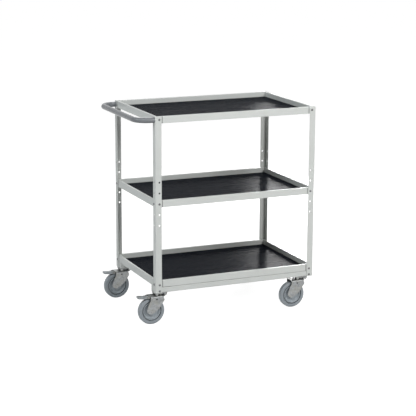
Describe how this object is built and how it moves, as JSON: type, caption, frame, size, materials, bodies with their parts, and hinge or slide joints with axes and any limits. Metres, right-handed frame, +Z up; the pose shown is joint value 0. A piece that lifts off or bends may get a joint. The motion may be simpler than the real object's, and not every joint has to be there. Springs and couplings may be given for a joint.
{
  "type": "tool cart",
  "caption": "Steel tool cart with rimmed, rubber-matted trays between angle uprights, a tubular push handle and swivel castors, with brake pedals at the handle end.",
  "frame": {"origin": "on the floor under the middle of the overall box, handle included", "axes": "+X from the handle end towards the far end, Y across the cart, +Z up"},
  "size_m": [0.897, 0.532, 0.97],
  "materials": {
    "frame_paint": "satin powder coat, light warm grey",
    "handle_paint": "satin powder coat, mid grey",
    "mat_rubber": "fine-ribbed black rubber sheet",
    "plated_steel": "zinc-plated pressed steel",
    "pedal_steel": "zinc-plated pressed steel, slightly bluer",
    "hub_plastic": "moulded grey plastic",
    "tyre_rubber": "grey non-marking rubber",
    "shoe_rubber": "dark brake rubber"
  },
  "bodies": {
    "frame": {"upright_front_handle_end": "frame_paint", "upright_front_far_end": "frame_paint", "upright_rear_far_end": "frame_paint", "upright_rear_handle_end": "frame_paint", "tray_bottom": "frame_paint", "mat_bottom": "mat_rubber", "tray_middle": "frame_paint", "mat_middle": "mat_rubber", "tray_top": "frame_paint", "mat_top": "mat_rubber", "base_rail_front": "frame_paint", "base_rail_rear": "frame_paint", "push_handle": "handle_paint", "top_plate_front_handle_end": "plated_steel", "king_pin_front_handle_end": "plated_steel", "top_plate_rear_handle_end": "plated_steel", "king_pin_rear_handle_end": "plated_steel", "top_plate_front_far_end": "plated_steel", "king_pin_front_far_end": "plated_steel", "top_plate_rear_far_end": "plated_steel", "king_pin_rear_far_end": "plated_steel"},
    "swivel_front_handle_end": {"lower_race_front_handle_end": "plated_steel", "fork_front_handle_end": "plated_steel", "axle_front_handle_end": "plated_steel", "axle_spacer_front_handle_end": "plated_steel", "pedal_pin_front_handle_end": "plated_steel"},
    "wheel_front_handle_end": {"wheel_hub_front_handle_end": "hub_plastic", "tyre_front_handle_end": "tyre_rubber"},
    "pedal_front_handle_end": {"brake_pedal_front_handle_end": "pedal_steel", "brake_shoe_front_handle_end": "shoe_rubber"},
    "swivel_rear_handle_end": {"lower_race_rear_handle_end": "plated_steel", "fork_rear_handle_end": "plated_steel", "axle_rear_handle_end": "plated_steel", "axle_spacer_rear_handle_end": "plated_steel", "pedal_pin_rear_handle_end": "plated_steel"},
    "wheel_rear_handle_end": {"wheel_hub_rear_handle_end": "hub_plastic", "tyre_rear_handle_end": "tyre_rubber"},
    "pedal_rear_handle_end": {"brake_pedal_rear_handle_end": "pedal_steel", "brake_shoe_rear_handle_end": "shoe_rubber"},
    "swivel_front_far_end": {"lower_race_front_far_end": "plated_steel", "fork_front_far_end": "plated_steel", "axle_front_far_end": "plated_steel", "axle_spacer_front_far_end": "plated_steel"},
    "wheel_front_far_end": {"wheel_hub_front_far_end": "hub_plastic", "tyre_front_far_end": "tyre_rubber"},
    "swivel_rear_far_end": {"lower_race_rear_far_end": "plated_steel", "fork_rear_far_end": "plated_steel", "axle_rear_far_end": "plated_steel", "axle_spacer_rear_far_end": "plated_steel"},
    "wheel_rear_far_end": {"wheel_hub_rear_far_end": "hub_plastic", "tyre_rear_far_end": "tyre_rubber"}
  },
  "joints": [
    {"name": "swivel_front_handle_end", "type": "hinge", "parent": "frame", "child": "swivel_front_handle_end", "pos_m": [-0.327, -0.234, 0.14], "axis": [0, 0, 1], "continuous": true},
    {"name": "roll_front_handle_end", "type": "hinge", "parent": "swivel_front_handle_end", "child": "wheel_front_handle_end", "pos_m": [-0.3695, -0.234, 0.0625], "axis": [0, 1, 0], "continuous": true},
    {"name": "brake_front_handle_end", "type": "hinge", "parent": "swivel_front_handle_end", "child": "pedal_front_handle_end", "pos_m": [-0.386, -0.234, 0.1305], "axis": [0, -1, 0], "range_deg": [0, 11]},
    {"name": "swivel_rear_handle_end", "type": "hinge", "parent": "frame", "child": "swivel_rear_handle_end", "pos_m": [-0.327, 0.234, 0.14], "axis": [0, 0, 1], "continuous": true},
    {"name": "roll_rear_handle_end", "type": "hinge", "parent": "swivel_rear_handle_end", "child": "wheel_rear_handle_end", "pos_m": [-0.3695, 0.234, 0.0625], "axis": [0, 1, 0], "continuous": true},
    {"name": "brake_rear_handle_end", "type": "hinge", "parent": "swivel_rear_handle_end", "child": "pedal_rear_handle_end", "pos_m": [-0.386, 0.234, 0.1305], "axis": [0, -1, 0], "range_deg": [0, 11]},
    {"name": "swivel_front_far_end", "type": "hinge", "parent": "frame", "child": "swivel_front_far_end", "pos_m": [0.395, -0.234, 0.14], "axis": [0, 0, 1], "continuous": true},
    {"name": "roll_front_far_end", "type": "hinge", "parent": "swivel_front_far_end", "child": "wheel_front_far_end", "pos_m": [0.3525, -0.234, 0.0625], "axis": [0, 1, 0], "continuous": true},
    {"name": "swivel_rear_far_end", "type": "hinge", "parent": "frame", "child": "swivel_rear_far_end", "pos_m": [0.395, 0.234, 0.14], "axis": [0, 0, 1], "continuous": true},
    {"name": "roll_rear_far_end", "type": "hinge", "parent": "swivel_rear_far_end", "child": "wheel_rear_far_end", "pos_m": [0.3525, 0.234, 0.0625], "axis": [0, 1, 0], "continuous": true}
  ]
}
